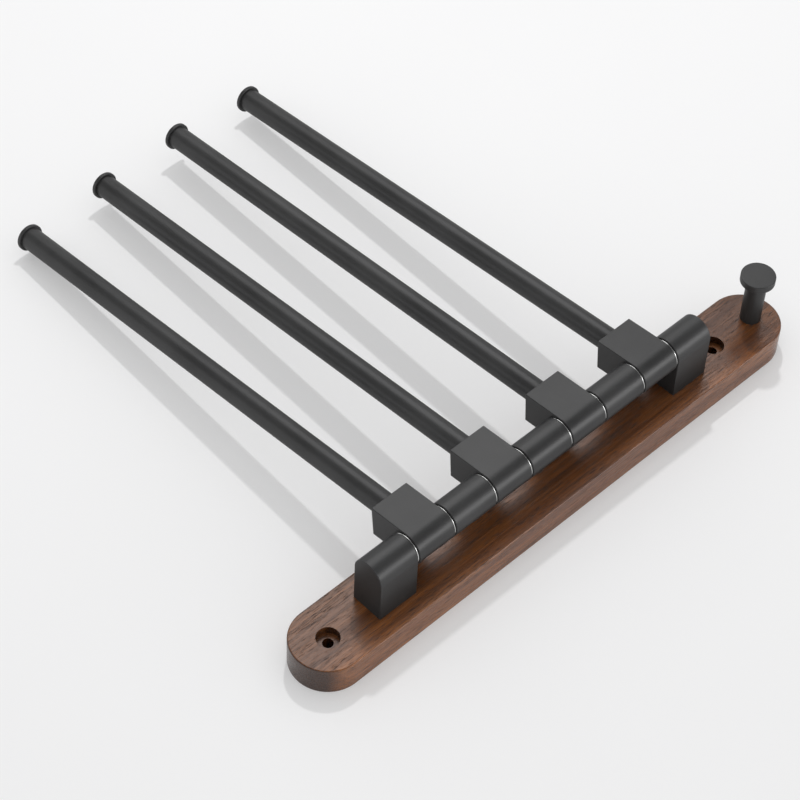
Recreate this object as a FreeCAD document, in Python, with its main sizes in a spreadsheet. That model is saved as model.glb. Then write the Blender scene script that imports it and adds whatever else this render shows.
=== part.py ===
import FreeCAD, Part
import math
import os
import Sketcher

# Swing arm towel bar for a wall: a walnut back board, two arch brackets, one upright
# pivot shaft and four arms that swing on it, with a peg at the board's lower end.
# +Z runs up along the shaft, +Y points into the wall and +X is where the arms lie folded.
# The origin is the centre of the board's back face, on the wall.

# back board
boardLength = 363         # over both round ends
boardWidth = 42
boardThick = 18
boardEdge = 0.8           # rounding of the front rim
wallHoleTop = 21          # upper end of the board to the upper wall hole
wallHoleBottom = 48       # lower end of the board to the lower wall hole
wallHoleDia = 6
wallSinkDia = 13
wallSinkDepth = 5
# brackets and pivot shaft
axisRise = 27             # front of the board to the shaft's axis
tubeDia = 20              # shared by brackets, hubs and spacers
stackStart = 48           # upper end of the board to the upper bracket
bracketLength = 26
boreDepth = 18            # of the shaft in each bracket
shaftDia = 8
shaftPlay = 0.2           # free length above the shaft
edgeBreak = 0.5           # rounding on the outer edges of the metal pieces
# stack on the shaft
stackPlay = 0.2           # free height under the upper bracket
washerThick = 1.2
washerDia = 19
spacerLength = 29
seatClear = 0.05          # radial, in fixed seats
runClear = 0.06           # radial, bush on shaft
# arms
hubWidth = 25
hubReach = 26             # shaft axis to the hub's flat end
bushWall = 1.5
rodDia = 13.5
rodWall = 1.2
rodSocket = 14            # depth of the rod in the hub
armLength = 330           # shaft axis to the cap's outer face
capDia = 16.6
capThick = 2.2
capSpigot = 10
restAngle1 = 6.0          # degrees from the board's plane towards the wall, upper arm first
restAngle2 = 5.2
restAngle3 = 4.6
restAngle4 = 5.4
# peg
pegInset = 16             # lower end of the board to the peg's axis
pegStemDia = 12
pegHeadDia = 20
pegHeadThick = 4.5
pegReach = 34.5           # front of the board to the peg's face
# screws
screwDia = 4
screwSlack = 0.2          # radial, in the board
screwHeadDia = 7.4
screwHeadHeight = 3
screwSinkDia = 9
screwSinkDepth = 5
screwGrip = 9             # length in the metal
drillPast = 1             # tapped depth past the screw's tip
screwPitch = 14           # between the two screws of one bracket
hexWidth = 2.5            # across flats
hexDepth = 1.6
grubDia = 4
grubSunk = 0.2            # below the hub's face
grubHexWidth = 2
grubHexDepth = 1.4

os.makedirs("parts", exist_ok=True)
doc = FreeCAD.newDocument("SwingArmTowelBar")
sheet = doc.addObject("Spreadsheet::Sheet", "Sizes")


def fillSheet(**sizes):
    # one row for each size: its name, and a cell with its number under that name
    for index, (alias, number) in enumerate(sizes.items()):
        row = str(index + 1)
        sheet.set("A" + row, alias)
        sheet.set("B" + row, str(number))
        sheet.setAlias("B" + row, alias)
    doc.recompute()


fillSheet(
    boardLength=boardLength, boardWidth=boardWidth, boardThick=boardThick, boardEdge=boardEdge,
    wallHoleTop=wallHoleTop, wallHoleBottom=wallHoleBottom, wallHoleDia=wallHoleDia,
    wallSinkDia=wallSinkDia, wallSinkDepth=wallSinkDepth,
    axisRise=axisRise, tubeDia=tubeDia, stackStart=stackStart, bracketLength=bracketLength,
    boreDepth=boreDepth, shaftDia=shaftDia, shaftPlay=shaftPlay, edgeBreak=edgeBreak,
    stackPlay=stackPlay, washerThick=washerThick, washerDia=washerDia,
    spacerLength=spacerLength, seatClear=seatClear, runClear=runClear,
    hubWidth=hubWidth, hubReach=hubReach, bushWall=bushWall,
    rodDia=rodDia, rodWall=rodWall, rodSocket=rodSocket,
    armLength=armLength, capDia=capDia, capThick=capThick, capSpigot=capSpigot,
    restAngle1=restAngle1, restAngle2=restAngle2, restAngle3=restAngle3, restAngle4=restAngle4,
    pegInset=pegInset, pegStemDia=pegStemDia, pegHeadDia=pegHeadDia,
    pegHeadThick=pegHeadThick, pegReach=pegReach,
    screwDia=screwDia, screwSlack=screwSlack, screwHeadDia=screwHeadDia,
    screwHeadHeight=screwHeadHeight, screwSinkDia=screwSinkDia, screwSinkDepth=screwSinkDepth,
    screwGrip=screwGrip, drillPast=drillPast, screwPitch=screwPitch,
    hexWidth=hexWidth, hexDepth=hexDepth,
    grubDia=grubDia, grubSunk=grubSunk, grubHexWidth=grubHexWidth, grubHexDepth=grubHexDepth)


def cells(text):
    # every #name becomes the sheet's cell of that name
    return text.replace("#", "Sizes.")


armCount = 4
flatsToCorners = " / sqrt(3)"     # across flats to the corner circle's radius
boardTop = "(#boardLength / 2)"
axisDepth = "(#boardThick + #axisRise)"
topInner = "(" + boardTop + " - #stackStart - #bracketLength)"
hubPlace = "(#washerThick + #hubWidth / 2)"
armStep = "(#hubWidth + 2 * #washerThick + #spacerLength)"
stackHeight = "(#stackPlay + 2 * " + hubPlace + " + " + str(armCount - 1) + " * " + armStep + ")"
bottomInner = "(" + topInner + " - " + stackHeight + ")"
bushDia = "(#shaftDia + 2 * #runClear + 2 * #bushWall)"
looseBore = "(#shaftDia + 2 * #seatClear)"
screwBore = "(#screwDia + 2 * #seatClear)"
tappedDepth = "(#screwGrip + #drillPast)"
screwSeat = "(#boardThick - #screwSinkDepth)"
pegPlace = "(-" + boardTop + " + #pegInset)"
grubPlace = "(#hubReach - #rodSocket / 2)"


def hubMiddle(arm):
    return "(" + topInner + " - #stackPlay - " + hubPlace + " - " + str(arm) + " * " + armStep + ")"


def screwHeights():
    half = "#bracketLength / 2"
    offset = "#screwPitch / 2"
    upper = [topInner + " + " + half + " + " + offset, topInner + " + " + half + " - " + offset]
    lower = [bottomInner + " - " + half + " + " + offset, bottomInner + " - " + half + " - " + offset]
    return upper + lower


# ---- bodies, sketches and features ----

bodies = []
cuts = []


def newBody(label, across="0", depth="0", height="0"):
    body = doc.addObject("PartDesign::Body", label)
    body.Label = label
    body.setExpression("Placement.Base.x", cells(across))
    body.setExpression("Placement.Base.y", cells(depth))
    body.setExpression("Placement.Base.z", cells(height))
    bodies.append(body)
    return body


def turnBody(body, axis, expression):
    body.Placement = FreeCAD.Placement(body.Placement.Base, FreeCAD.Rotation(axis, 1))
    body.setExpression("Placement.Rotation.Angle", cells(expression))


def plane(body, role):
    for feature in body.Origin.OriginFeatures:
        if feature.Role == role:
            return feature
    raise RuntimeError("no such plane: " + role)


def attach(item, body, role, across="0", up="0", out="0", spin=0):
    item.AttachmentSupport = (plane(body, role), [""])
    item.MapMode = "FlatFace"
    item.AttachmentOffset = FreeCAD.Placement(
        FreeCAD.Vector(0, 0, 0), FreeCAD.Rotation(FreeCAD.Vector(0, 0, 1), spin))
    item.setExpression("AttachmentOffset.Base.x", cells(across))
    item.setExpression("AttachmentOffset.Base.y", cells(up))
    item.setExpression("AttachmentOffset.Base.z", cells(out))


def newSketch(body, role, name, **where):
    sketch = body.newObject("Sketcher::SketchObject", body.Name + "_" + name)
    attach(sketch, body, role, **where)
    return sketch


def rule(sketch, kind, *references):
    return sketch.addConstraint(Sketcher.Constraint(kind, *references))


def sizeRule(sketch, expression, kind, *references):
    index = rule(sketch, kind, *references)
    name = "size" + str(index)
    sketch.renameConstraint(index, name)
    sketch.setExpression("Constraints." + name, cells(expression))


def addCircle(sketch, diameter):
    # drawn with a radius of 1, then the size rule gives it its diameter
    circle = Part.Circle(FreeCAD.Vector(0, 0, 0), FreeCAD.Vector(0, 0, 1), 1)
    geo = sketch.addGeometry(circle, False)
    rule(sketch, "Coincident", geo, 3, -1, 1)
    sizeRule(sketch, diameter, "Diameter", geo, 2)


def addLine(sketch, x0, y0, x1, y1):
    line = Part.LineSegment(FreeCAD.Vector(x0, y0, 0), FreeCAD.Vector(x1, y1, 0))
    return sketch.addGeometry(line, False)


def addArc(sketch, y, radius, first, last):
    circle = Part.Circle(FreeCAD.Vector(0, y, 0), FreeCAD.Vector(0, 0, 1), radius)
    return sketch.addGeometry(Part.ArcOfCircle(circle, first, last), False)


def addStadium(sketch, length, width, longSide, shortSide):
    # two half circles joined by upright sides, centred on the sketch's origin
    half = shortSide / 2
    span = (longSide - shortSide) / 2
    right = addLine(sketch, half, -span, half, span)
    top = addArc(sketch, span, half, 0, math.pi)
    left = addLine(sketch, -half, span, -half, -span)
    bottom = addArc(sketch, -span, half, math.pi, 2 * math.pi)
    rule(sketch, "Tangent", right, 2, top, 1)
    rule(sketch, "Tangent", top, 2, left, 1)
    rule(sketch, "Tangent", left, 2, bottom, 1)
    rule(sketch, "Tangent", bottom, 2, right, 1)
    rule(sketch, "Vertical", right)
    rule(sketch, "Symmetric", top, 3, bottom, 3, -1, 1)
    rule(sketch, "PointOnObject", top, 3, -2)
    sizeRule(sketch, width + " / 2", "Radius", top, half)
    sizeRule(sketch, length + " - " + width, "DistanceY", bottom, 3, top, 3, 2 * span)


def addArch(sketch, width, reach, widthNow, reachNow):
    # half circle round the origin, with straight sides to a flat end at +x
    half = widthNow / 2
    nose = addArc(sketch, 0, half, math.pi / 2, 3 * math.pi / 2)
    low = addLine(sketch, 0, -half, reachNow, -half)
    end = addLine(sketch, reachNow, -half, reachNow, half)
    high = addLine(sketch, reachNow, half, 0, half)
    rule(sketch, "Coincident", nose, 3, -1, 1)
    rule(sketch, "Tangent", nose, 2, low, 1)
    rule(sketch, "Coincident", low, 2, end, 1)
    rule(sketch, "Coincident", end, 2, high, 1)
    rule(sketch, "Tangent", high, 2, nose, 1)
    rule(sketch, "Horizontal", low)
    rule(sketch, "Horizontal", high)
    rule(sketch, "Vertical", end)
    sizeRule(sketch, width + " / 2", "Radius", nose, half)
    sizeRule(sketch, reach, "DistanceX", -1, 1, low, 2, reachNow)


def pad(body, sketch, name, length, side="One side", back=False):
    feature = body.newObject("PartDesign::Pad", body.Name + "_" + name)
    feature.Profile = sketch
    feature.SideType = side
    feature.Reversed = back
    feature.setExpression("Length", cells(length))
    sketch.Visibility = False
    return feature


def pocket(body, sketch, name, depth, side="One side", back=False):
    feature = body.newObject("PartDesign::Pocket", body.Name + "_" + name)
    feature.Profile = sketch
    feature.SideType = side
    feature.Reversed = back
    feature.setExpression("Length", cells(depth))
    sketch.Visibility = False
    cuts.append(feature)
    return feature


def disc(body, role, name, diameter, length, back=False, **where):
    sketch = newSketch(body, role, name + "_profile", **where)
    addCircle(sketch, diameter)
    return pad(body, sketch, name, length, back=back)


def drill(body, role, name, diameter, depth, back=False, **where):
    sketch = newSketch(body, role, name + "_profile", **where)
    addCircle(sketch, diameter)
    return pocket(body, sketch, name, depth, back=back)


def hexSocket(body, role, name, width, depth, **where):
    socket = body.newObject("PartDesign::SubtractivePrism", body.Name + "_" + name)
    socket.Polygon = 6
    attach(socket, body, role, **where)
    socket.setExpression("Circumradius", cells(width + flatsToCorners))
    socket.setExpression("Height", cells(depth))
    cuts.append(socket)
    return socket


def roundEdges(body, name, radius, wanted):
    # wanted(edge) picks edges of the body as it stands
    doc.recompute()
    base = body.Tip
    names = []
    for index, edge in enumerate(base.Shape.Edges):
        if wanted(edge):
            names.append("Edge" + str(index + 1))
    feature = body.newObject("PartDesign::Fillet", body.Name + "_" + name)
    feature.Base = (base, names)
    feature.setExpression("Radius", cells(radius))
    return feature


def near(a, b):
    return abs(a - b) < 0.001


def spans(edge, axis):
    box = edge.BoundBox
    return {"x": (box.XMin, box.XMax), "y": (box.YMin, box.YMax), "z": (box.ZMin, box.ZMax)}[axis]


def flatAt(edge, axis, place):
    low, high = spans(edge, axis)
    return near(low, place) and near(high, place)


def widest(edge):
    box = edge.BoundBox
    return max(box.XLength, box.YLength, box.ZLength)


def isCircle(edge, axis, diameter):
    # a circle of this diameter, square to the axis
    low, high = spans(edge, axis)
    return near(low, high) and near(widest(edge), diameter)


# ---- back board, with its holes ----

board = newBody("back_board")
outline = newSketch(board, "XZ_Plane", "outline")
addStadium(outline, "#boardLength", "#boardWidth", boardLength, boardWidth)
pad(board, outline, "slab", "#boardThick")
wallHeights = [boardTop + " - #wallHoleTop", "-" + boardTop + " + #wallHoleBottom"]
for index, height in enumerate(wallHeights):
    tag = str(index + 1)
    front = "#boardThick"
    drill(board, "XZ_Plane", "wall_hole_" + tag, "#wallHoleDia", front, up=height, out=front)
    drill(board, "XZ_Plane", "wall_sink_" + tag, "#wallSinkDia", "#wallSinkDepth", up=height, out=front)
boardScrews = screwHeights() + [pegPlace]
for index, height in enumerate(boardScrews):
    hole = "screw_hole_" + str(index + 1)
    sink = "screw_sink_" + str(index + 1)
    loose = "#screwDia + 2 * #screwSlack"
    drill(board, "XZ_Plane", hole, loose, "#boardThick", back=True, up=height)
    drill(board, "XZ_Plane", sink, "#screwSinkDia", "#screwSinkDepth", back=True, up=height)


def isRim(edge):
    # front outline of the slab: its long sides and its end arcs
    return flatAt(edge, "y", -boardThick) and widest(edge) > boardWidth / 2


roundEdges(board, "front_rim", "#boardEdge", isRim)

# ---- the two brackets, origin on the shaft's axis at the inner face ----


def makeBracket(label, height, upsideDown):
    body = newBody(label, depth="-" + axisDepth, height=height)
    if upsideDown:
        turnBody(body, FreeCAD.Vector(0, 1, 0), "180")
    arch = newSketch(body, "XY_Plane", "arch", spin=90)
    addArch(arch, "#tubeDia", "#axisRise", tubeDia, axisRise)
    pad(body, arch, "block", "#bracketLength")
    drill(body, "XY_Plane", "shaft_bore", looseBore, "#boreDepth", back=True)
    for index, sign in enumerate([" + ", " - "]):
        hole = "tapped_" + str(index + 1)
        place = "#bracketLength / 2" + sign + "#screwPitch / 2"
        face = "-#axisRise"
        drill(body, "XZ_Plane", hole, screwBore, tappedDepth, back=True, up=place, out=face)

    def isArchEdge(edge):
        # both end outlines, without the board's side and the shaft's bore
        atEnd = flatAt(edge, "z", 0) or flatAt(edge, "z", bracketLength)
        inside = flatAt(edge, "y", axisRise) or isCircle(edge, "z", shaftDia + 2 * seatClear)
        return atEnd and not inside

    roundEdges(body, "arch_edges", "#edgeBreak", isArchEdge)


makeBracket("bracket_upper", topInner, False)
makeBracket("bracket_lower", bottomInner, True)

# ---- pivot shaft, standing in the lower bracket's bore ----

shaft = newBody("pivot_shaft", depth="-" + axisDepth, height=bottomInner + " - #boreDepth")
disc(shaft, "XY_Plane", "bar", "#shaftDia", stackHeight + " + 2 * #boreDepth - #shaftPlay")
roundEdges(shaft, "ends", "#edgeBreak", lambda edge: isCircle(edge, "z", shaftDia))

# ---- washers and spacers, from the top down ----


def makeRing(label, height, outer, length):
    body = newBody(label, depth="-" + axisDepth, height=height)
    ring = newSketch(body, "XY_Plane", "ring")
    addCircle(ring, outer)
    addCircle(ring, looseBore)
    pad(body, ring, "tube", length)
    return body


for arm in range(armCount):
    above = hubMiddle(arm) + " + #hubWidth / 2"
    below = hubMiddle(arm) + " - " + hubPlace
    makeRing("washer_" + str(2 * arm + 1), above, "#washerDia", "#washerThick")
    makeRing("washer_" + str(2 * arm + 2), below, "#washerDia", "#washerThick")
for gap in range(armCount - 1):
    foot = hubMiddle(gap) + " - " + hubPlace + " - #spacerLength"
    spacer = makeRing("spacer_" + str(gap + 1), foot, "#tubeDia", "#spacerLength")
    roundEdges(spacer, "outer_edges", "#edgeBreak", lambda edge: isCircle(edge, "z", tubeDia))

# ---- the arms: origin on the shaft's axis at the hub's middle, rod along +X ----


def armBody(label, arm):
    body = newBody(label, depth="-" + axisDepth, height=hubMiddle(arm))
    turnBody(body, FreeCAD.Vector(0, 0, 1), "#restAngle" + str(arm + 1))
    return body


def makeHub(arm):
    body = armBody("arm_hub_" + str(arm + 1), arm)
    arch = newSketch(body, "XY_Plane", "arch")
    addArch(arch, "#tubeDia", "#hubReach", tubeDia, hubReach)
    pad(body, arch, "block", "#hubWidth", side="Symmetric")
    bore = newSketch(body, "XY_Plane", "bush_bore_profile")
    addCircle(bore, bushDia + " + 2 * #seatClear")
    pocket(body, bore, "bush_bore", "#hubWidth", side="Symmetric")
    drill(body, "YZ_Plane", "rod_socket", "#rodDia + 2 * #seatClear", "#rodSocket", out="#hubReach")
    drill(body, "XZ_Plane", "grub_hole", "#grubDia + 2 * #seatClear", "(#tubeDia - #rodDia) / 2",
          back=True, across=grubPlace, out="-#tubeDia / 2")
    half = tubeDia / 2

    def isOuterEdge(edge):
        # the outlines of both sides, and the two corners of the flat end
        atEnd = flatAt(edge, "x", hubReach)
        onSide = flatAt(edge, "z", hubWidth / 2) or flatAt(edge, "z", -hubWidth / 2)
        low, high = spans(edge, "y")
        onOutline = near(high, half) or near(low, -half) or atEnd
        corner = atEnd and (flatAt(edge, "y", half) or flatAt(edge, "y", -half))
        return (onSide and onOutline) or corner

    roundEdges(body, "outer_edges", "#edgeBreak", isOuterEdge)


def makeBush(arm):
    body = armBody("hub_bush_" + str(arm + 1), arm)
    ring = newSketch(body, "XY_Plane", "ring")
    addCircle(ring, bushDia)
    addCircle(ring, "#shaftDia + 2 * #runClear")
    pad(body, ring, "sleeve", "#hubWidth", side="Symmetric")


def makeRod(arm):
    body = armBody("towel_rod_" + str(arm + 1), arm)
    ring = newSketch(body, "YZ_Plane", "ring", out="#hubReach - #rodSocket")
    addCircle(ring, "#rodDia")
    addCircle(ring, "#rodDia - 2 * #rodWall")
    pad(body, ring, "tube", "#armLength - #capThick - #hubReach + #rodSocket")


def makeCap(arm):
    body = armBody("end_cap_" + str(arm + 1), arm)
    seat = "#armLength - #capThick"
    disc(body, "YZ_Plane", "flange", "#capDia", "#capThick", out=seat)
    spigot = "#rodDia - 2 * #rodWall - 2 * #seatClear"
    disc(body, "YZ_Plane", "spigot", spigot, "#capSpigot", back=True, out=seat)
    roundEdges(body, "rim", "#edgeBreak", lambda edge: isCircle(edge, "x", capDia))


def makeGrub(arm):
    body = armBody("rod_grub_screw_" + str(arm + 1), arm)
    length = "(#tubeDia - #rodDia) / 2 - #grubSunk"
    where = {"across": grubPlace, "out": "-#tubeDia / 2 + #grubSunk"}
    disc(body, "XZ_Plane", "thread", "#grubDia", length, **where)
    hexSocket(body, "XZ_Plane", "key", "#grubHexWidth", "#grubHexDepth", **where)


for arm in range(armCount):
    makeHub(arm)
    makeBush(arm)
    makeRod(arm)
    makeCap(arm)
    makeGrub(arm)

# ---- hanging peg on the board's front ----

peg = newBody("hook_peg", depth="-#boardThick", height=pegPlace)
stemLength = "(#pegReach - #pegHeadThick)"
disc(peg, "XZ_Plane", "stem", "#pegStemDia", stemLength)
disc(peg, "XZ_Plane", "head", "#pegHeadDia", "#pegHeadThick", out=stemLength)
drill(peg, "XZ_Plane", "tapped", screwBore, tappedDepth, back=True)
roundEdges(peg, "head_rim", "#edgeBreak", lambda edge: isCircle(edge, "y", pegHeadDia))

# ---- screws from the back of the board, head on the sink's floor ----


def makeScrew(label, height):
    body = newBody(label, depth="-#screwSinkDepth", height=height)
    disc(body, "XZ_Plane", "shank", "#screwDia", screwSeat + " + #screwGrip")
    disc(body, "XZ_Plane", "head", "#screwHeadDia", "#screwHeadHeight", back=True)
    hexSocket(body, "XZ_Plane", "key", "#hexWidth", "#hexDepth", out="-#screwHeadHeight")


screwNames = ["bracket_screw_upper_1", "bracket_screw_upper_2"]
screwNames += ["bracket_screw_lower_1", "bracket_screw_lower_2", "hook_peg_screw"]
for label, height in zip(screwNames, boardScrews):
    makeScrew(label, height)

# ---- check the whole document, then write one file for each piece ----

doc.recompute()
for item in doc.Objects:
    for word in ("Invalid", "Error"):
        if word in item.State:
            raise RuntimeError(item.Name + " is " + word)
for cut in cuts:
    if cut.Shape.Volume >= cut.BaseFeature.Shape.Volume - 0.001:
        raise RuntimeError(cut.Name + " removes nothing")
for body in bodies:
    if body.Shape.isNull() or not body.Shape.isValid():
        raise RuntimeError(body.Label + " has no valid shape")
    if len(body.Shape.Solids) != 1:
        raise RuntimeError(body.Label + " is not one solid")
for body in bodies:
    body.Shape.exportStep(os.path.join("parts", body.Label + ".step"))
print(len(bodies), "pieces written")
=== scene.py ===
import math
import bmesh
import bpy
from mathutils import Matrix, Vector


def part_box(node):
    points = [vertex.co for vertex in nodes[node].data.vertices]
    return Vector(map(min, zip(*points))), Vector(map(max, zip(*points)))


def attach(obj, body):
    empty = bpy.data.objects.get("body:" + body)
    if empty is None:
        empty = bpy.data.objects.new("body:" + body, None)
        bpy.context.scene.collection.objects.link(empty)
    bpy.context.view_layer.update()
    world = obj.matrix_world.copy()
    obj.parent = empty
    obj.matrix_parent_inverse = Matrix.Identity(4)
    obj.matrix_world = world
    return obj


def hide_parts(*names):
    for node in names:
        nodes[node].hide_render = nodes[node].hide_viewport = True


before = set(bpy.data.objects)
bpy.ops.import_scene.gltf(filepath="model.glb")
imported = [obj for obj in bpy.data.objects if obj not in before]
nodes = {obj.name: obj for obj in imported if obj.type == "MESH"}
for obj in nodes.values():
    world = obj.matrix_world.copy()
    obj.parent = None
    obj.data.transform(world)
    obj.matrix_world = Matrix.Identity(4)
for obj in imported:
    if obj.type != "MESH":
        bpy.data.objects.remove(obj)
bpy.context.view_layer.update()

print("towel bar: frame loaded,", len(nodes), "nodes")


# the rack lies on its back, peg end to the upper right
camera = {
    "place": (-0.52992, -1.074, 0.66373),        # m, +z runs up the board and +y into the wall
    "forward": (0.448294, 0.764647, -0.462976),
    "up": (0.566254, -0.643685, -0.514807),
    "lens": 113.3087,                            # mm
    "sensor": 36,                                # mm, for a square picture
    "clip": (0.01, 60),                          # m, nearest and furthest that it sees
}


def addCamera():
    forward = Vector(camera["forward"]).normalized()
    right = forward.cross(Vector(camera["up"])).normalized()
    up = right.cross(forward)
    data = bpy.data.cameras.new("rackCamera")
    data.lens = camera["lens"]
    data.sensor_width = camera["sensor"]
    data.sensor_fit = "HORIZONTAL"
    data.clip_start, data.clip_end = camera["clip"]
    view = bpy.data.objects.new("rackCamera", data)
    turn = Matrix((right, up, -forward)).transposed()
    view.matrix_world = Matrix.Translation(Vector(camera["place"])) @ turn.to_4x4()
    bpy.context.scene.collection.objects.link(view)
    bpy.context.scene.camera = view
    bpy.context.scene.view_settings.view_transform = "Standard"


addCamera()
print("towel bar: camera placed")


# small helpers for meshes and finishes
white = (1, 1, 1, 1)
noiseSpan = (0.3, 0.7)             # nearly all of a noise's values lie in here


def addObject(name, verts, faces):
    mesh = bpy.data.meshes.new(name)
    mesh.from_pydata(verts, [], faces)
    mesh.update()
    made = bpy.data.objects.new(name, mesh)
    bpy.context.scene.collection.objects.link(made)
    return made


def newFinish(name):
    finish = bpy.data.materials.new(name)
    finish.use_nodes = True
    tree = finish.node_tree
    return finish, tree, tree.nodes["Principled BSDF"]


def addNode(tree, kind, inputs=None, **settings):
    node = tree.nodes.new(kind)
    for key, value in settings.items():
        setattr(node, key, value)
    for key, value in (inputs or {}).items():
        node.inputs[key].default_value = value
    return node


def stretched(tree, scale):
    # object coordinates in metres, scaled differently along x, y and z
    place = addNode(tree, "ShaderNodeTexCoord")
    mapping = addNode(tree, "ShaderNodeMapping", {"Scale": scale})
    tree.links.new(place.outputs["Object"], mapping.inputs["Vector"])
    return mapping.outputs["Vector"]


def noise(tree, perMetre, detail=2.0, roughness=0.5, distortion=0.0):
    # perMetre is how often it repeats in a metre: one number, or one each for x, y and z
    scale = perMetre if isinstance(perMetre, tuple) else (perMetre,) * 3
    grain = addNode(tree, "ShaderNodeTexNoise",
                    {"Scale": 1.0, "Detail": detail, "Roughness": roughness, "Distortion": distortion})
    tree.links.new(stretched(tree, scale), grain.inputs["Vector"])
    return grain.outputs["Fac"]


def spread(tree, value, low, high, toLow=0.0, toHigh=1.0):
    node = addNode(tree, "ShaderNodeMapRange",
                   {"From Min": low, "From Max": high, "To Min": toLow, "To Max": toHigh})
    tree.links.new(value, node.inputs["Value"])
    return node.outputs["Result"]


def toned(colour, share):
    return tuple(share * part for part in colour)


def blendColour(tree, factor, first, second, mode="MIX"):
    # first and second are colours or sockets; a colour mix has them at 6 and 7, its result at 2
    node = addNode(tree, "ShaderNodeMix", data_type="RGBA", blend_type=mode)
    for place, value in ((0, factor), (6, first), (7, second)):
        if isinstance(value, bpy.types.NodeSocket):
            tree.links.new(value, node.inputs[place])
        else:
            node.inputs[place].default_value = (*value, 1.0) if place else value
    return node.outputs[2]


def calc(tree, first, second, operation="MULTIPLY"):
    # first and second are numbers or sockets
    node = addNode(tree, "ShaderNodeMath", operation=operation)
    for socket, value in zip(node.inputs, (first, second)):
        if isinstance(value, bpy.types.NodeSocket):
            tree.links.new(value, socket)
        else:
            socket.default_value = value
    return node.outputs[0]


def mixShaders(tree, factor, first, second):
    node = addNode(tree, "ShaderNodeMixShader")
    for place, socket in enumerate((factor, first, second)):
        tree.links.new(socket, node.inputs[place])
    return node.outputs[0]


def seenOrMirrored(tree):
    # 1 for what the camera and the gloss look at, 0 for the light that falls on the pieces
    path = addNode(tree, "ShaderNodeLightPath")
    seen = calc(tree, path.outputs["Is Camera Ray"], path.outputs["Is Glossy Ray"], "MAXIMUM")
    return calc(tree, seen, path.outputs["Is Transmission Ray"], "MAXIMUM")


def bump(tree, shader, height, distance, strength=1.0, under=None):
    node = addNode(tree, "ShaderNodeBump", {"Strength": strength, "Distance": distance})
    tree.links.new(height, node.inputs["Height"])
    if under is not None:
        tree.links.new(under, node.inputs["Normal"])
    tree.links.new(node.outputs["Normal"], shader.inputs["Normal"])
    return node.outputs["Normal"]


def edgeRub(tree, radius, low, high):
    # 1 on rubbed edges, 0 on flat faces
    soft = addNode(tree, "ShaderNodeBevel", {"Radius": radius}, samples=6)
    face = addNode(tree, "ShaderNodeNewGeometry")
    dot = addNode(tree, "ShaderNodeVectorMath", operation="DOT_PRODUCT")
    tree.links.new(soft.outputs["Normal"], dot.inputs[0])
    tree.links.new(face.outputs["Normal"], dot.inputs[1])
    return spread(tree, dot.outputs["Value"], high, low)


def named(word):
    return sorted(name for name in nodes if word in name)


def finishPieces(names, finish):
    for name in names:
        for slot in nodes[name].material_slots:
            slot.material = finish


# a plain pale sheet as the wall plane, cut out behind the board, with patches of painted shade behind the
# wall-screw holes
stage = {
    "depth": 0.0003,               # m, how far the sheet lies behind the board's back
    "boardHalf": 0.0201,           # m, half the cut-out's width, a little inside the board's outline
    "boardStraight": 0.1605,       # m, height where the board's round ends begin
    "rings": (0.0, 0.02, 0.1, 0.5, 2.0, 9.0),    # m, how far each ring lies outside the cut-out
    "holes": (0.1605, -0.1335),    # m, heights of the wall-screw holes
    "patch": 0.0033,               # m, radius of the painted-shade patch behind each hole
    "steps": 24,                   # points round each half circle, and round each patch
    "colour": (0.88, 0.88, 0.885),
    "mottled": (0.87, 0.87, 0.875),
    "mottleSize": 6,               # per metre
    "roughness": 0.7,
    "specular": 0.1,
    "glow": 0.25,                  # share of the sheet that shows plain pale, whatever the light
    "glowStrength": 0.9,
    "paintedShade": (0.20, 0.20, 0.20),  # painted shade: dark grey standing in for the wall in shade behind each hole
    "paintedShadeTone": 0.8,
    "paintedShadeSize": 300,             # per metre
    "paintedShadeRoughness": 0.9,
}


def clearFromBehind(tree, front):
    # the camera sees through the sheet from behind, so that the board's back shows
    clear = addNode(tree, "ShaderNodeBsdfTransparent")
    side = addNode(tree, "ShaderNodeNewGeometry")
    path = addNode(tree, "ShaderNodeLightPath")
    behind = calc(tree, side.outputs["Backfacing"], path.outputs["Is Camera Ray"])
    surface = mixShaders(tree, behind, front, clear.outputs[0])
    tree.links.new(surface, tree.nodes["Material Output"].inputs["Surface"])


def sheetFinish():
    finish, tree, shader = newFinish("paleSheet")
    mottle = noise(tree, stage["mottleSize"], detail=3)
    tint = blendColour(tree, spread(tree, mottle, *noiseSpan), stage["colour"], stage["mottled"])
    tree.links.new(tint, shader.inputs["Base Color"])
    shader.inputs["Roughness"].default_value = stage["roughness"]
    shader.inputs["Specular IOR Level"].default_value = stage["specular"]
    plain = addNode(tree, "ShaderNodeEmission", {"Color": white, "Strength": stage["glowStrength"]})
    glow = calc(tree, seenOrMirrored(tree), stage["glow"])
    clearFromBehind(tree, mixShaders(tree, glow, shader.outputs[0], plain.outputs[0]))
    return finish


def paintedShadeFinish():
    # painted shade: the wall seen through the open holes is drawn dark grey
    finish, tree, shader = newFinish("paintedShadeWall")
    speckle = noise(tree, stage["paintedShadeSize"], detail=3)
    tint = blendColour(tree, speckle, stage["paintedShade"], toned(stage["paintedShade"], stage["paintedShadeTone"]))
    tree.links.new(tint, shader.inputs["Base Color"])
    shader.inputs["Roughness"].default_value = stage["paintedShadeRoughness"]
    clearFromBehind(tree, shader.outputs[0])
    return finish


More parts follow.
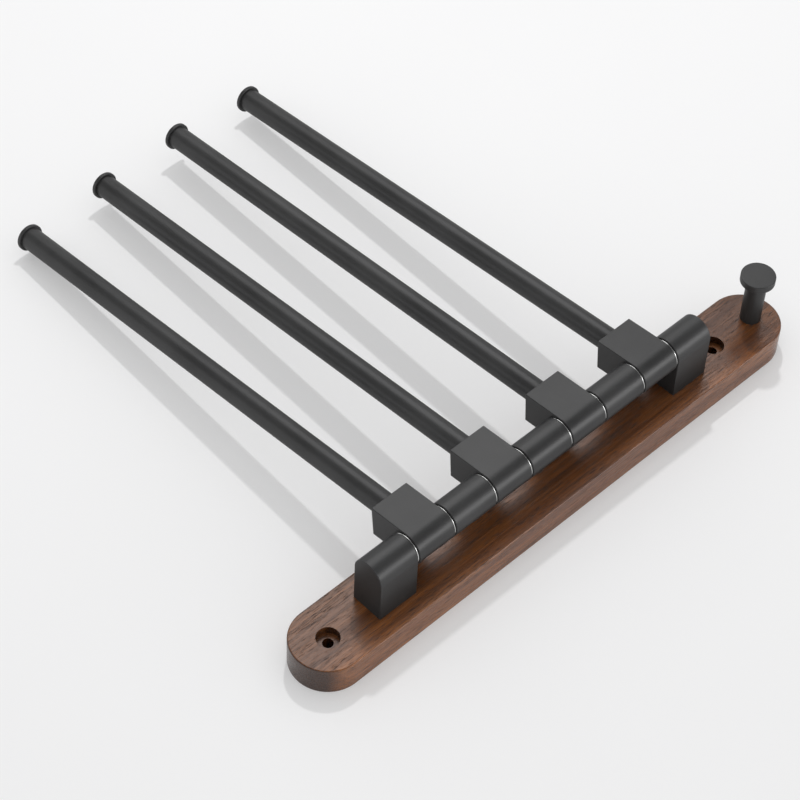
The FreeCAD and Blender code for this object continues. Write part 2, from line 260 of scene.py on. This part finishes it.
def addSheet():
    depth = stage["depth"]
    steps = stage["steps"]
    straight = stage["boardStraight"]
    outline = []
    for centre, start in ((straight, 0), (-straight, math.pi)):
        for i in range(steps + 1):
            angle = start + math.pi * i / steps
            outline.append((centre, math.cos(angle), math.sin(angle)))
    verts = []
    faces = []
    count = len(outline)
    for r, ring in enumerate(stage["rings"]):      # the board's outline, pushed outwards
        size = stage["boardHalf"] + ring
        for i, (centre, x, z) in enumerate(outline):
            verts.append((size * x, depth, centre + size * z))
            if r:
                j = (i + 1) % count
                inner = (r - 1) * count
                outer = r * count
                faces.append((inner + i, inner + j, outer + j, outer + i))
    for height in stage["holes"]:                  # a patch of painted shade behind each open hole
        first = len(verts)
        for i in range(steps):
            angle = 2 * math.pi * i / steps
            x = stage["patch"] * math.cos(angle)
            z = height + stage["patch"] * math.sin(angle)
            verts.append((x, depth, z))
        faces.append(tuple(range(first, first + steps)))
    sheet = addObject("wallSheet", verts, faces)
    mesh = sheet.data
    for face in mesh.polygons:
        if face.normal.y > 0:                      # every face looks out from the wall
            face.flip()
    mesh.update()
    mesh.materials.append(sheetFinish())
    mesh.materials.append(paintedShadeFinish())
    # the patches take the painted-shade finish
    for face in mesh.polygons[-len(stage["holes"]):]:
        face.material_index = 1


addSheet()
print("towel bar: wall sheet laid")


# a soft room, one small key high over the rod tips, and a dark card overhead
light = {
    "room": 0.78,                  # strength of the room on matt surfaces
    "backdrop": 0.92,              # strength that the camera and the gloss see
    "aim": (0.13, 0, 0),           # the middle of the rack
    "keyFrom": (0.59, -1.29, -0.505),
    "keySize": 0.07,
    "keyPower": 6.3,
    "farFrom": (0.72, -1.28, -0.52),
    "farSize": (1.2, 1.1),
    "farPower": 9.2,
    "sideFrom": (-1.33, -0.50, -0.75),
    "sideSize": (0.62, 1.2),
    "sidePower": 9.6,
    "backFrom": (0.0, 1.4, 0.2),   # lights the board's back
    "backSize": (1.2, 1.2),
    "backPower": 9.0,
    "backAim": (0, 0, 0),
    "cardHeight": 1.9,             # m, grey card above everything, seen only in the gloss
    "cardRadius": 4.6,
    "cardSteps": 48,
    "cardColour": (0.26, 0.26, 0.26),
    "cardTone": 0.9,
    "cardFelt": 40,                # per metre
    "cardRoughness": 0.9,
}


def addLamp(name, place, power, size, aim=light["aim"]):
    data = bpy.data.lights.new(name, "AREA")
    if isinstance(size, tuple):
        data.shape = "RECTANGLE"
        data.size, data.size_y = size
    else:
        data.shape = "DISK"
        data.size = size
    data.energy = power
    lamp = bpy.data.objects.new(name, data)
    lamp.location = place
    lamp.rotation_euler = (Vector(aim) - Vector(place)).to_track_quat("-Z", "Y").to_euler()
    lamp.visible_camera = False
    bpy.context.scene.collection.objects.link(lamp)
    return lamp


def cardFinish():
    finish, tree, shader = newFinish("greyCard")
    felt = noise(tree, light["cardFelt"], detail=3)
    tint = blendColour(tree, felt, light["cardColour"], toned(light["cardColour"], light["cardTone"]))
    tree.links.new(tint, shader.inputs["Base Color"])
    shader.inputs["Roughness"].default_value = light["cardRoughness"]
    shader.inputs["Specular IOR Level"].default_value = 0.0
    return finish


def addCard():
    steps = light["cardSteps"]
    verts = []
    for i in range(steps):
        angle = 2 * math.pi * i / steps
        x = light["cardRadius"] * math.cos(angle)
        z = light["cardRadius"] * math.sin(angle)
        verts.append((x, -light["cardHeight"], z))
    card = addObject("greyCard", verts, [tuple(range(steps))])
    card.visible_camera = False
    card.visible_diffuse = False
    card.visible_shadow = False
    card.data.materials.append(cardFinish())


def addRoom():
    world = bpy.data.worlds.new("softRoom")
    bpy.context.scene.world = world
    world.use_nodes = True
    tree = world.node_tree
    room = tree.nodes["Background"]
    room.inputs["Strength"].default_value = light["room"]
    room.inputs["Color"].default_value = white
    shown = addNode(tree, "ShaderNodeBackground", {"Strength": light["backdrop"], "Color": white})
    both = mixShaders(tree, seenOrMirrored(tree), room.outputs[0], shown.outputs[0])
    tree.links.new(both, tree.nodes["World Output"].inputs["Surface"])


def addLight():
    key = addLamp("keyLamp", light["keyFrom"], light["keyPower"], light["keySize"])
    key.visible_glossy = False
    for name in ("far", "side"):                   # these two only draw the sheen on metal and oiled wood
        box = addLamp(name + "Box", light[name + "From"], light[name + "Power"], light[name + "Size"])
        box.visible_diffuse = False
    addLamp("backBox", light["backFrom"], light["backPower"], light["backSize"], light["backAim"])
    addCard()
    addRoom()


addLight()
print("towel bar: light set")


# back board: oiled walnut, grain along the board
walnut = {
    "dark": (0.088, 0.027, 0.006),
    "light": (0.215, 0.078, 0.021),
    "bands": (85, 60, 4.5),        # per metre across, through and along the board
    "bandSpan": (0.34, 0.68),      # the part of the noise in which dark turns to light
    "line": (0.050, 0.015, 0.004),
    "streaks": (420, 420, 5),
    "streakSpan": (0.44, 0.70),
    "streakShare": 0.40,           # how strongly they show
    "fibres": (1300, 1300, 15),
    "fibreSpan": (0.48, 0.62),
    "fibreShare": 0.48,
    "pale": (0.25, 0.108, 0.052),  # the fibres' pale side
    "paleSpan": (0.48, 0.36),
    "paleShare": 0.32,
    "pore": (0.012, 0.004, 0.002),
    "pores": (3600, 3600, 150),    # short dark dashes along the grain
    "poreSpan": (0.57, 0.68),
    "poreShare": 0.85,
    "drift": (160, 160, 16),       # where the pores gather
    "driftGain": (0.92, 1.10),
    "paintedLightFrom": -0.010,            # m, painted light: the board's colour is made paler towards its -x edge, standing in for light on that side, from here on
    "paintedLightTo": -0.021,
    "paintedLightGain": 1.75,
    "endGrainAndShade": (0.030, 0.010, 0.004),           # end grain drinks more oil and is darker; the darkening is also painted shade on the board's round ends
    "endSpan": (0.08, 0.50),       # how far a face has turned to the end, squared
    "endShare": 0.90,
    "rubbed": (0.05, 0.02, 0.009),
    "rubRadius": 0.0012,
    "rubSpan": (0.90, 0.99),
    "rubShare": 0.25,
    "roughness": (0.22, 0.34),
    "roughnessSpan": (0.35, 0.65),
    "poreRoughness": 0.40,         # added inside the pores, where the oil sinks in
    "poreDepth": 0.00004,
    "fibreHeight": 0.3,            # as a share of the pores' depth
    "reliefStrength": 0.5,
    "specular": 0.62,
}


def walnutGrain(tree):
    # gives the wood's tone, its fibres and its pores
    bands = noise(tree, walnut["bands"], detail=4, roughness=0.55, distortion=0.8)
    streaks = noise(tree, walnut["streaks"], detail=3, roughness=0.6)
    fibres = noise(tree, walnut["fibres"], detail=4, roughness=0.6)
    banded = spread(tree, bands, *walnut["bandSpan"])
    streaked = spread(tree, streaks, *walnut["streakSpan"], 0.0, walnut["streakShare"])
    lined = spread(tree, fibres, *walnut["fibreSpan"], 0.0, walnut["fibreShare"])
    paled = spread(tree, fibres, *walnut["paleSpan"], 0.0, walnut["paleShare"])
    body = blendColour(tree, banded, walnut["dark"], walnut["light"])
    body = blendColour(tree, streaked, body, walnut["line"])
    body = blendColour(tree, lined, body, walnut["line"])
    body = blendColour(tree, paled, body, walnut["pale"])
    dashes = noise(tree, walnut["pores"], detail=1)
    drift = noise(tree, walnut["drift"], detail=3)
    level = calc(tree, dashes, spread(tree, drift, *noiseSpan, *walnut["driftGain"]))
    pores = spread(tree, level, *walnut["poreSpan"])
    body = blendColour(tree, calc(tree, pores, walnut["poreShare"]), body, walnut["pore"])
    return body, fibres, pores


def walnutFinish():
    finish, tree, shader = newFinish("oiledWalnut")
    body, fibres, pores = walnutGrain(tree)
    across = addNode(tree, "ShaderNodeSeparateXYZ")
    tree.links.new(stretched(tree, (1, 1, 1)), across.inputs[0])
    # painted light: the colour is raised towards the -x edge
    paintedLightMask = spread(tree, across.outputs["X"], walnut["paintedLightFrom"], walnut["paintedLightTo"])
    paintedLightTint = blendColour(tree, paintedLightMask, (1, 1, 1), (walnut["paintedLightGain"],) * 3)
    body = blendColour(tree, 1.0, body, paintedLightTint, "MULTIPLY")
    # darker where a face turns to the board's end: end grain, and painted shade on the round ends
    turned = addNode(tree, "ShaderNodeSeparateXYZ")
    tree.links.new(addNode(tree, "ShaderNodeTexCoord").outputs["Normal"], turned.inputs[0])
    endGrainAndShadeMask = calc(tree, turned.outputs["Z"], turned.outputs["Z"])
    endGrainAndShadeMask = spread(tree, endGrainAndShadeMask, *walnut["endSpan"], 0.0, walnut["endShare"])
    body = blendColour(tree, endGrainAndShadeMask, body, walnut["endGrainAndShade"])
    rub = edgeRub(tree, walnut["rubRadius"], *walnut["rubSpan"])
    body = blendColour(tree, calc(tree, rub, walnut["rubShare"]), body, walnut["rubbed"])
    tree.links.new(body, shader.inputs["Base Color"])
    rough = spread(tree, fibres, *walnut["roughnessSpan"], *walnut["roughness"])
    rough = calc(tree, rough, calc(tree, pores, walnut["poreRoughness"]), "ADD")
    tree.links.new(rough, shader.inputs["Roughness"])
    height = calc(tree, calc(tree, fibres, walnut["fibreHeight"]), pores, "SUBTRACT")
    bump(tree, shader, height, walnut["poreDepth"], walnut["reliefStrength"])
    shader.inputs["Specular IOR Level"].default_value = walnut["specular"]
    return finish


finishPieces(["back_board"], walnutFinish())
print("towel bar: board finished")


# black metal: a fine satin coat over aluminium
blackCoat = {
    "colour": (0.059, 0.059, 0.0593),
    "cloudTones": (0.86, 1.14),    # darkest and palest cloud in the coat
    "cloudSize": 28,               # per metre
    "speck": (0.085, 0.085, 0.088),
    "speckSize": 6500.0,
    "speckSpan": (0.55, 0.8),
    "speckShare": 0.5,
    # lighter worn edges, which also serve as a painted highlight along the edges
    "wornAndHighlight": (0.13, 0.13, 0.13),
    "wornShare": 0.35,             # how much of the worn, painted-highlight tone the edges take
    "wornSize": 260,
    "wornSpan": (0.35, 0.6),
    "wornLevels": (0.35, 1.0),
    "rubRadius": 0.0007,
    "rubSpan": (0.80, 0.985),
    "roughness": 0.38,
    "turnedRoughness": 0.36,
    "roughnessPlay": (-0.03, 0.04),
    "grainDepth": 0.000012,
    "grainStrength": 0.5,
    "tubeLines": (30, 2600, 2600), # faint lines left by drawing the tube
    "spacerLines": (2600, 2600, 40),
    "lineStrength": 0.35,
    "metal": 0.50,
    "grazing": (0.42, 0.42, 0.42), # keeps the rims dark
}


def coatFinish(name, lines=None, roughness=blackCoat["roughness"]):
    finish, tree, shader = newFinish(name)
    cloud = noise(tree, blackCoat["cloudSize"], detail=3)
    speck = noise(tree, blackCoat["speckSize"], detail=1)
    darkest, palest = (toned(blackCoat["colour"], share) for share in blackCoat["cloudTones"])
    tone = blendColour(tree, spread(tree, cloud, *noiseSpan), darkest, palest)
    specked = spread(tree, speck, *blackCoat["speckSpan"], 0.0, blackCoat["speckShare"])
    tone = blendColour(tree, specked, tone, blackCoat["speck"])
    # the edges are painted lighter: wear, and a painted highlight
    rub = edgeRub(tree, blackCoat["rubRadius"], *blackCoat["rubSpan"])
    patches = noise(tree, blackCoat["wornSize"], detail=3)
    patchy = spread(tree, patches, *blackCoat["wornSpan"], *blackCoat["wornLevels"])
    rubbed = calc(tree, calc(tree, rub, patchy), blackCoat["wornShare"])
    tone = blendColour(tree, rubbed, tone, blackCoat["wornAndHighlight"])
    tree.links.new(tone, shader.inputs["Base Color"])
    smoothest, roughest = (roughness + play for play in blackCoat["roughnessPlay"])
    tree.links.new(spread(tree, cloud, *noiseSpan, smoothest, roughest), shader.inputs["Roughness"])
    under = bump(tree, shader, speck, blackCoat["grainDepth"], blackCoat["grainStrength"])
    if lines:
        drawn = noise(tree, lines, detail=2)
        bump(tree, shader, drawn, blackCoat["grainDepth"], blackCoat["lineStrength"], under)
    shader.inputs["Metallic"].default_value = blackCoat["metal"]
    shader.inputs["Specular Tint"].default_value = (*blackCoat["grazing"], 1.0)
    return finish


castBlack = coatFinish("satinBlackCast")
tubeBlack = coatFinish("satinBlackTube", lines=blackCoat["tubeLines"])
spacerBlack = coatFinish("satinBlackSpacer", lines=blackCoat["spacerLines"])
turnedBlack = coatFinish("satinBlackTurned", roughness=blackCoat["turnedRoughness"])
finishPieces(["bracket_upper", "bracket_lower"] + named("arm_hub"), castBlack)
finishPieces(named("towel_rod"), tubeBlack)
finishPieces(named("spacer"), spacerBlack)
finishPieces(named("end_cap") + ["hook_peg"], turnedBlack)
print("towel bar: black pieces finished")


# bright and hidden metal; lay is how fine the tool marks are, per metre
washerSteel = {"colour": (0.70, 0.70, 0.69), "roughness": 0.22, "lay": 1500}
shaftSteel = {"colour": (0.52, 0.52, 0.53), "roughness": 0.26, "lay": (2200, 2200, 200)}
screwSteel = {"colour": (0.60, 0.60, 0.62), "roughness": 0.34, "lay": 1500}
steelMarks = {
    "smear": 140,                  # per metre
    "smearTone": 0.82,
    "roughnessPlay": (-0.06, 0.08),
    "depth": 0.00001,
    "strength": 0.4,
}
nylon = {
    "colour": (0.80, 0.79, 0.74),
    "tone": 0.9,
    "turning": (300, 300, 5000),   # fine rings left by the lathe, per metre
    "depth": 0.00001,
    "strength": 0.5,
    "roughness": (0.45, 0.57),
}


def steelFinish(name, colour, roughness, lay):
    finish, tree, shader = newFinish(name)
    marks = noise(tree, lay, detail=3)
    smear = noise(tree, steelMarks["smear"], detail=3)
    smeared = toned(colour, steelMarks["smearTone"])
    tone = blendColour(tree, spread(tree, smear, *noiseSpan), colour, smeared)
    tree.links.new(tone, shader.inputs["Base Color"])
    smoothest, roughest = (roughness + play for play in steelMarks["roughnessPlay"])
    tree.links.new(spread(tree, marks, *noiseSpan, smoothest, roughest), shader.inputs["Roughness"])
    bump(tree, shader, marks, steelMarks["depth"], steelMarks["strength"])
    shader.inputs["Metallic"].default_value = 1.0
    return finish


def nylonFinish():
    finish, tree, shader = newFinish("turnedNylon")
    turning = noise(tree, nylon["turning"], detail=2)
    darker = toned(nylon["colour"], nylon["tone"])
    tone = blendColour(tree, spread(tree, turning, *noiseSpan), nylon["colour"], darker)
    tree.links.new(tone, shader.inputs["Base Color"])
    tree.links.new(spread(tree, turning, *noiseSpan, *nylon["roughness"]), shader.inputs["Roughness"])
    bump(tree, shader, turning, nylon["depth"], nylon["strength"])
    return finish


brightSteel = steelFinish("brightWasherSteel", **washerSteel)
finishPieces(["pivot_shaft"], steelFinish("groundShaftSteel", **shaftSteel))
finishPieces(named("screw"), steelFinish("zincScrewSteel", **screwSteel))
finishPieces(named("hub_bush"), nylonFinish())
print("towel bar: steel and nylon finished")


# thin turned rings with a full round rim, which catches a fine line of light
washer = {
    "bore": 0.0043,                # m, radius of the hole
    "rim": 0.0095,                 # m, radius of the outside
    "thick": 0.0009,
    "gap": 0.0003,                 # m, the play left under each ring, a fine dark line
    "axis": -0.045,                # m, how far the shaft stands off the wall, along y
    "bevel": 0.0001,               # m, on the bore's two edges
    "steps": 128,                  # points round the ring
    "arc": 10,                     # steps round the rim's profile
    "sharp": 40,                   # degrees, above which an edge stays sharp
}


def washerProfile():
    # radius and height round one section of the ring
    bore = washer["bore"]
    bevel = washer["bevel"]
    half = 0.5 * washer["thick"]
    profile = [(bore, -half + bevel), (bore + bevel, -half)]
    for i in range(washer["arc"] + 1):
        angle = -0.5 * math.pi + math.pi * i / washer["arc"]
        profile.append((washer["rim"] - half + half * math.cos(angle), half * math.sin(angle)))
    return profile + [(bore + bevel, half), (bore, half - bevel)]


def addWasher(name):
    low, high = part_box(name)
    middle = 0.5 * (low.z + high.z + washer["gap"])
    profile = washerProfile()
    across = len(profile)
    around = washer["steps"]
    verts = []
    faces = []
    for i in range(around):
        angle = 2 * math.pi * i / around
        here = i * across
        after = (i + 1) % around * across
        for radius, height in profile:
            y = washer["axis"] + radius * math.sin(angle)
            verts.append((radius * math.cos(angle), y, middle + height))
        for j in range(across):
            k = (j + 1) % across
            faces.append((here + j, after + j, after + k, here + k))
    ring = addObject(name + "_ring", verts, faces)
    bm = bmesh.new()
    bm.from_mesh(ring.data)
    bmesh.ops.recalc_face_normals(bm, faces=bm.faces)
    for face in bm.faces:
        face.smooth = True
    bm.to_mesh(ring.data)
    bm.free()
    ring.data.set_sharp_from_angle(angle=math.radians(washer["sharp"]))
    ring.data.materials.append(brightSteel)
    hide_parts(name)
    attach(ring, "wall_frame")


for washerName in named("washer"):
    addWasher(washerName)
print("towel bar: washers turned")
